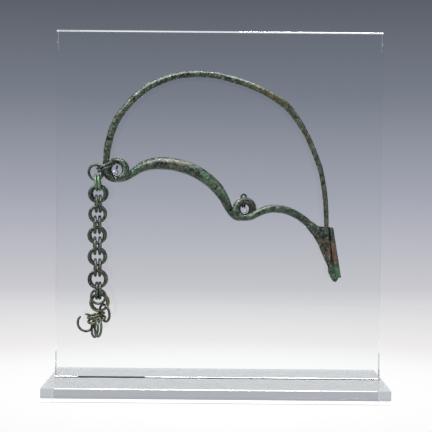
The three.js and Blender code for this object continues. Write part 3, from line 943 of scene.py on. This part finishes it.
@dataclass
class Chain:
    """The rings that hang from the spring, each where its CAD ring is.

    Thinning is a share of the wire. Relief and swell are millimetres. The open ring sweeps over
    open_sweep, in degrees, and narrows over its last open_taper steps to its open_tip share.
    """

    count: int = 34
    thinning: float = 0.16
    relief: float = 0.22
    swell: float = 0.08
    open_steps: int = 60
    open_wire: float = 1.45
    open_sweep: tuple[float, float] = (131, 455)
    open_tip: float = 0.72
    open_taper: int = 3

    def _ring_frame(self, node: str) -> tuple[np.ndarray, np.ndarray, float, float]:
        """Reads a ring's place from its solid.

        Args:
            node: The CAD ring's name.

        Returns:
            Its centre, its axis, its ring radius and its wire radius, in metres.
        """
        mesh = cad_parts[node].data
        places = np.zeros(len(mesh.vertices) * 3)
        mesh.vertices.foreach_get("co", places)
        places = np.unique(places.reshape(-1, 3).round(7), axis=0)
        centre = places.mean(axis=0)
        axis = np.linalg.svd(places - centre, full_matrices=False)[2][2]
        spokes = places - centre
        spokes -= np.outer(spokes @ axis, axis)
        reach = np.linalg.norm(spokes, axis=1)
        return centre, axis, (reach.max() + reach.min()) / 2, (reach.max() - reach.min()) / 2

    def _ring(self, number: int, finish: bpy.types.Material, tree: bpy.types.NodeTree) -> None:
        """Builds one closed ring.

        Args:
            number: The ring's number, from the spring down.
            finish: Its finish.
            tree: The tree that makes a ring.
        """
        node = f"chain_ring_{number:02d}"
        centre, axis, radius, wire = self._ring_frame(node)
        turn = Vector((0, 0, 1)).rotation_difference(Vector(axis)).to_euler()
        piece = plain_object(f"ring_{number:02d}_bronze", bpy.data.meshes.new(node))
        use_tree(piece, tree, {
            "Ring Radius": float(radius), "Wire Radius": float(wire + self.swell * MM),
            "Thinning": self.thinning,
            "Relief Depth": self.relief * MM, "Relief Size": per_metre(1.2), "Seed": number * 1.37,
            "Turn": tuple(turn), "Centre": tuple(float(value) for value in centre), "Material": finish,
        })
        bake_modifiers(piece, finish)
        finish_piece(piece, [node], "closed wire ring")

    def _open_ring(
        self, finish: bpy.types.Material, wires: bpy.types.NodeTree, relief: bpy.types.NodeTree
    ) -> None:
        """Builds the broken-open ring at the chain's foot.

        Args:
            finish: Its finish.
            wires: The tree that skins a line.
            relief: The tree that gives the corrosion's relief.
        """
        wire = self.open_wire
        low, high = (Vector(corner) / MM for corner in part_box("open_ring"))
        middle = (low + high) / 2
        radius_x, radius_z = (high.x - low.x - wire) / 2, (high.z - low.z - wire) / 2
        start, stop = (math.radians(angle) for angle in self.open_sweep)
        line = []
        for step in range(self.open_steps + 1):
            share = step / self.open_steps
            angle = start + (stop - start) * share
            place = (middle.x + radius_x * math.cos(angle), middle.y, middle.z + radius_z * math.sin(angle))
            end_share = min(share, 1 - share) * self.open_steps
            full = min(end_share / self.open_taper, 1)
            line.append(Station(np.array(place), wire * (self.open_tip + (1 - self.open_tip) * full)))
        piece = line_object("open_ring_bronze", line)
        use_tree(piece, wires, {"Sides": 14, "Material": finish})
        use_tree(piece, relief, {
            "Broad Depth": 0.2 * MM, "Broad Size": per_metre(4.0),
            "Fine Depth": self.relief * MM, "Fine Size": per_metre(1.2), "Seed": 8.0, "Material": finish,
        })
        bake_modifiers(piece, finish)
        finish_piece(piece, ["open_ring"], "broken-open wire ring")

    def build(
        self,
        finishes: dict[str, bpy.types.Material],
        rings: bpy.types.NodeTree,
        wires: bpy.types.NodeTree,
        relief: bpy.types.NodeTree,
    ) -> None:
        """Builds every ring.

        Args:
            finishes: The chain's finishes by name.
            rings: The tree that makes a ring.
            wires: The tree that skins a line.
            relief: The tree that gives the corrosion's relief.
        """
        kinds = {**dict.fromkeys((5, 6), "bright"), **dict.fromkeys((27, 28, 31, 32), "olive")}
        for number in range(1, self.count + 1):
            self._ring(number, finishes[kinds.get(number, "dark")], rings)
        self._open_ring(finishes["dark"], wires, relief)


# ---- The stand ----


@dataclass
class Stand:
    """The clear base and panel, the two clear pegs, and the dark ties on the pegs."""

    peg_sides: int = 40
    peg_round: float = 0.5
    tie_swell: float = 0.16

    def _peg(self, node: str, clear: bpy.types.Material) -> None:
        """Builds a round peg with an eased front end, where its solid is.

        Args:
            node: The CAD peg's name.
            clear: Its finish.
        """
        low, high = (Vector(corner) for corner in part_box(node))
        middle = (low + high) / 2
        radius = (high.z - low.z) / 2
        ease_by = self.peg_round * MM
        profile = [(0.0, high.y), (radius, high.y)]
        for step in range(5):
            angle = math.pi / 2 * step / 4
            profile.append((
                radius - ease_by * (1 - math.cos(angle)),
                low.y + ease_by * (1 - math.sin(angle)),
            ))
        profile.append((0.0, low.y))
        shape = bmesh.new()
        verts = [shape.verts.new((reach, place, 0)) for reach, place in profile]
        edges = [shape.edges.new(pair) for pair in zip(verts, verts[1:])]
        bmesh.ops.spin(
            shape, geom=verts + edges, axis=(0, 1, 0), cent=(0, 0, 0),
            steps=self.peg_sides, angle=2 * math.pi,
        )
        bmesh.ops.remove_doubles(shape, verts=shape.verts, dist=0.00001)
        bmesh.ops.recalc_face_normals(shape, faces=shape.faces)
        bmesh.ops.translate(shape, vec=(middle.x, 0, middle.z), verts=shape.verts)
        mesh = bpy.data.meshes.new(f"{node}_acrylic")
        shape.to_mesh(mesh)
        shape.free()
        mesh.materials.append(clear)
        mesh.polygons.foreach_set("use_smooth", [abs(face.normal.y) < 0.9 for face in mesh.polygons])
        finish_piece(plain_object(f"{node}_acrylic", mesh), [node], "clear rod")

    def _tie(self, node: str, rubber: bpy.types.Material) -> None:
        """Rounds a tie's solid off.

        Args:
            node: The CAD tie's name.
            rubber: Its finish.
        """
        shape = bmesh.new()
        shape.from_mesh(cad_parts[node].data)
        bmesh.ops.remove_doubles(shape, verts=shape.verts, dist=0.00001)
        mesh = bpy.data.meshes.new(f"{node}_rubber")
        shape.to_mesh(mesh)
        shape.free()
        piece = plain_object(f"{node}_rubber", mesh)
        rounding = piece.modifiers.new("rounding", "SUBSURF")
        rounding.levels = rounding.render_levels = 2
        plump = piece.modifiers.new("plump", "DISPLACE")
        plump.mid_level = 0.0
        plump.strength = self.tie_swell * MM
        bake_modifiers(piece, rubber)
        finish_piece(piece, [node], "dark tie")

    def build(
        self, clear: bpy.types.Material, base: bpy.types.Material, rubber: bpy.types.Material
    ) -> None:
        """Dresses the sheets and builds the pegs and the ties.

        Args:
            clear: The panel's and pegs' acrylic.
            base: The base plate's acrylic, which glows a little with the floor's light.
            rubber: The ties' finish.
        """
        dress_node("base_plate", base)
        dress_node("panel", clear)
        for node in ("peg_left", "peg_right"):
            self._peg(node, clear)
        for node in ("tie_left", "tie_right"):
            self._tie(node, rubber)


# ---- The studio ----


@dataclass
class Studio:
    """Pale floor, a backdrop that pales towards the floor, soft lights and the camera."""

    lens: float = 120.0
    sensor: float = 36.0
    eye: Point = (0.6, -864.7, 128.3)
    yaw: float = -0.09
    pitch: float = -1.49
    roll: float = 0.49
    floor_radius: float = 0.62
    sky: list[tuple[float, str]] = field(default_factory=lambda: [
        (-8.0, "#ffffff"), (-7.2, "#fefefe"), (-6.2, "#f4f2f3"), (-4.3, "#cac9cf"), (-0.55, "#a3a6b2"),
        (3.3, "#787e8a"), (7.1, "#5a5f68"), (12.0, "#4e5259"),
    ])

    def camera(self) -> None:
        """Makes the camera."""
        yaw, pitch, roll = (math.radians(angle) for angle in (self.yaw, self.pitch, self.roll))
        ahead = Vector((math.sin(yaw) * math.cos(pitch), math.cos(yaw) * math.cos(pitch), math.sin(pitch)))
        level = Vector((math.cos(yaw), -math.sin(yaw), 0))
        over = level.cross(ahead)
        right = level * math.cos(roll) + over * math.sin(roll)
        up = over * math.cos(roll) - level * math.sin(roll)
        data = bpy.data.cameras.new("camera")
        data.lens = self.lens
        data.sensor_width = self.sensor
        data.clip_start = 0.05
        data.clip_end = 20.0
        thing = bpy.data.objects.new("camera", data)
        turn = Matrix((right, up, -ahead)).transposed().to_4x4()
        thing.matrix_world = Matrix.Translation(Vector(self.eye) * MM) @ turn
        bpy.context.scene.collection.objects.link(thing)
        bpy.context.scene.camera = thing

    def world(self) -> None:
        """Makes the surroundings: the backdrop's fade where it is seen, soft grey as light."""
        world = bpy.data.worlds.new("studio")
        bpy.context.scene.world = world
        world.use_nodes = True
        tree = world.node_tree
        tree.nodes.clear()
        ray = add_node(tree, "ShaderNodeTexCoord").outputs["Generated"]
        height = add_node(tree, "ShaderNodeSeparateXYZ", None, {"Vector": ray}).outputs["Z"]
        low = math.sin(math.radians(self.sky[0][0]))
        high = math.sin(math.radians(self.sky[-1][0]))
        share = add_node(tree, "ShaderNodeMapRange", None, {
            "Value": height, "From Min": low, "From Max": high,
        }).outputs["Result"]
        stops = [
            ((math.sin(math.radians(angle)) - low) / (high - low), linear(colour))
            for angle, colour in self.sky
        ]
        fade = add_node(tree, "ShaderNodeValToRGB", None, {"Fac": share}, stops).outputs["Color"]
        seen = add_node(tree, "ShaderNodeBackground", None, {"Color": fade, "Strength": 1.0}).outputs[0]
        above = add_node(tree, "ShaderNodeMapRange", None, {
            "Value": height, "From Min": -0.1, "From Max": 0.9, "To Min": 0.25, "To Max": 0.5,
        }).outputs["Result"]
        lit = add_node(tree, "ShaderNodeBackground", None, {
            "Color": linear("#e6ecf4"), "Strength": above,
        }).outputs[0]
        path = add_node(tree, "ShaderNodeLightPath")
        shown = add_node(tree, "ShaderNodeMath", {"operation": "MAXIMUM"}, {
            0: path.outputs["Is Camera Ray"], 1: path.outputs["Is Transmission Ray"],
        }).outputs[0]
        both = add_node(tree, "ShaderNodeMixShader", None, {0: shown, 1: lit, 2: seen}).outputs[0]
        add_node(tree, "ShaderNodeOutputWorld", None, {"Surface": both})

    def floor(self) -> None:
        """Makes the pale floor, which glows softly so that it is white up to the backdrop."""
        material, tree, output = new_material("pale_floor")
        where = add_node(tree, "ShaderNodeTexCoord").outputs["Object"]
        far = add_node(tree, "ShaderNodeVectorMath", {"operation": "LENGTH"}, {0: where}).outputs["Value"]
        share = add_node(tree, "ShaderNodeMapRange", None, {
            "Value": far, "From Min": 0.1, "From Max": self.floor_radius,
        }).outputs["Result"]
        fade = add_node(tree, "ShaderNodeValToRGB", None, {"Fac": share}, [
            (0.0, linear("#ffffff")),
            (0.15, linear("#fbfbfb")),
            (0.35, linear("#eeecec")),
            (1.0, linear("#d9d8dc")),
        ]).outputs["Color"]
        glow = add_node(tree, "ShaderNodeEmission", None, {"Color": fade, "Strength": 1.0}).outputs[0]
        tree.links.new(glow, output.inputs["Surface"])
        shape = bmesh.new()
        bmesh.ops.create_circle(shape, cap_ends=True, segments=96, radius=self.floor_radius)
        bmesh.ops.translate(shape, vec=(0, 0, -0.0002), verts=shape.verts)
        mesh = bpy.data.meshes.new("floor")
        shape.to_mesh(mesh)
        shape.free()
        mesh.materials.append(material)
        plain_object("floor", mesh)

    def lights(self) -> None:
        """Makes the soft lights."""
        target = Vector((0, -15, 125)) * MM
        for name, place, size, power in (
            ("key", (-360, -380, 720), (0.45, 0.3), 10.0),
            ("top", (60, -60, 760), (0.7, 0.2), 8.0),
            ("fill", (620, -420, 260), (0.35, 0.5), 1.2),
        ):
            data = bpy.data.lights.new(name, "AREA")
            data.shape = "RECTANGLE"
            data.size, data.size_y = size
            data.energy = power
            thing = bpy.data.objects.new(name, data)
            thing.location = Vector(place) * MM
            thing.rotation_euler = (target - thing.location).to_track_quat("-Z", "Y").to_euler()
            bpy.context.scene.collection.objects.link(thing)

    def build(self) -> None:
        """Builds the whole studio."""
        bpy.context.scene.view_settings.view_transform = "Standard"
        self.camera()
        self.world()
        self.floor()
        self.lights()


def main() -> None:
    """Builds the studio and every piece, in order."""
    Studio().build()
    bronze = PatinatedBronze(
        "buried_tin_bronze", body_dark="#080b09", body_mid="#3a493c", fleck="#8d9886",
        green="#34523a", brown="#4a3f27", mottle_mm=3.0, grain_mm=1.3, green_share=0.6, brown_share=0.64,
        patches=BRONZE_STAINS_AND_SHADE,
    ).build()
    ring_bronze = {
        "dark": PatinatedBronze(
            "buried_ring_bronze", body_dark="#090c0b", body_mid="#414a40", fleck="#7b8475",
            green="#4b634e", brown="#433c2a", crust_mm=5.0, mottle_mm=2.6, grain_mm=1.2,
        ).build(),
        "bright": PatinatedBronze(
            "verdigris_ring_bronze", body_dark="#1a231d", body_mid="#506253", fleck="#9aad99",
            green="#6f9a72", brown="#463f2c", crust_mm=5.0, mottle_mm=2.6, grain_mm=1.2, green_share=0.45,
        ).build(),
        "olive": PatinatedBronze(
            "earthy_ring_bronze", body_dark="#23241a", body_mid="#565a41", fleck="#949a80",
            green="#5d6f52", brown="#6b6747", crust_mm=5.0, mottle_mm=2.6, grain_mm=1.2, brown_share=0.45,
        ).build(),
    }
    wires, relief, rings = wire_tree(), relief_tree(), ring_tree()
    Fibula().build(bronze, wires, relief)
    Chain().build(ring_bronze, rings, wires, relief)
    base = ClearAcrylic("floor_lit_acrylic", glow=0.1)
    Stand().build(ClearAcrylic().build(), base.build(), BlackRubber().build())


if __name__ == "__main__":
    main()
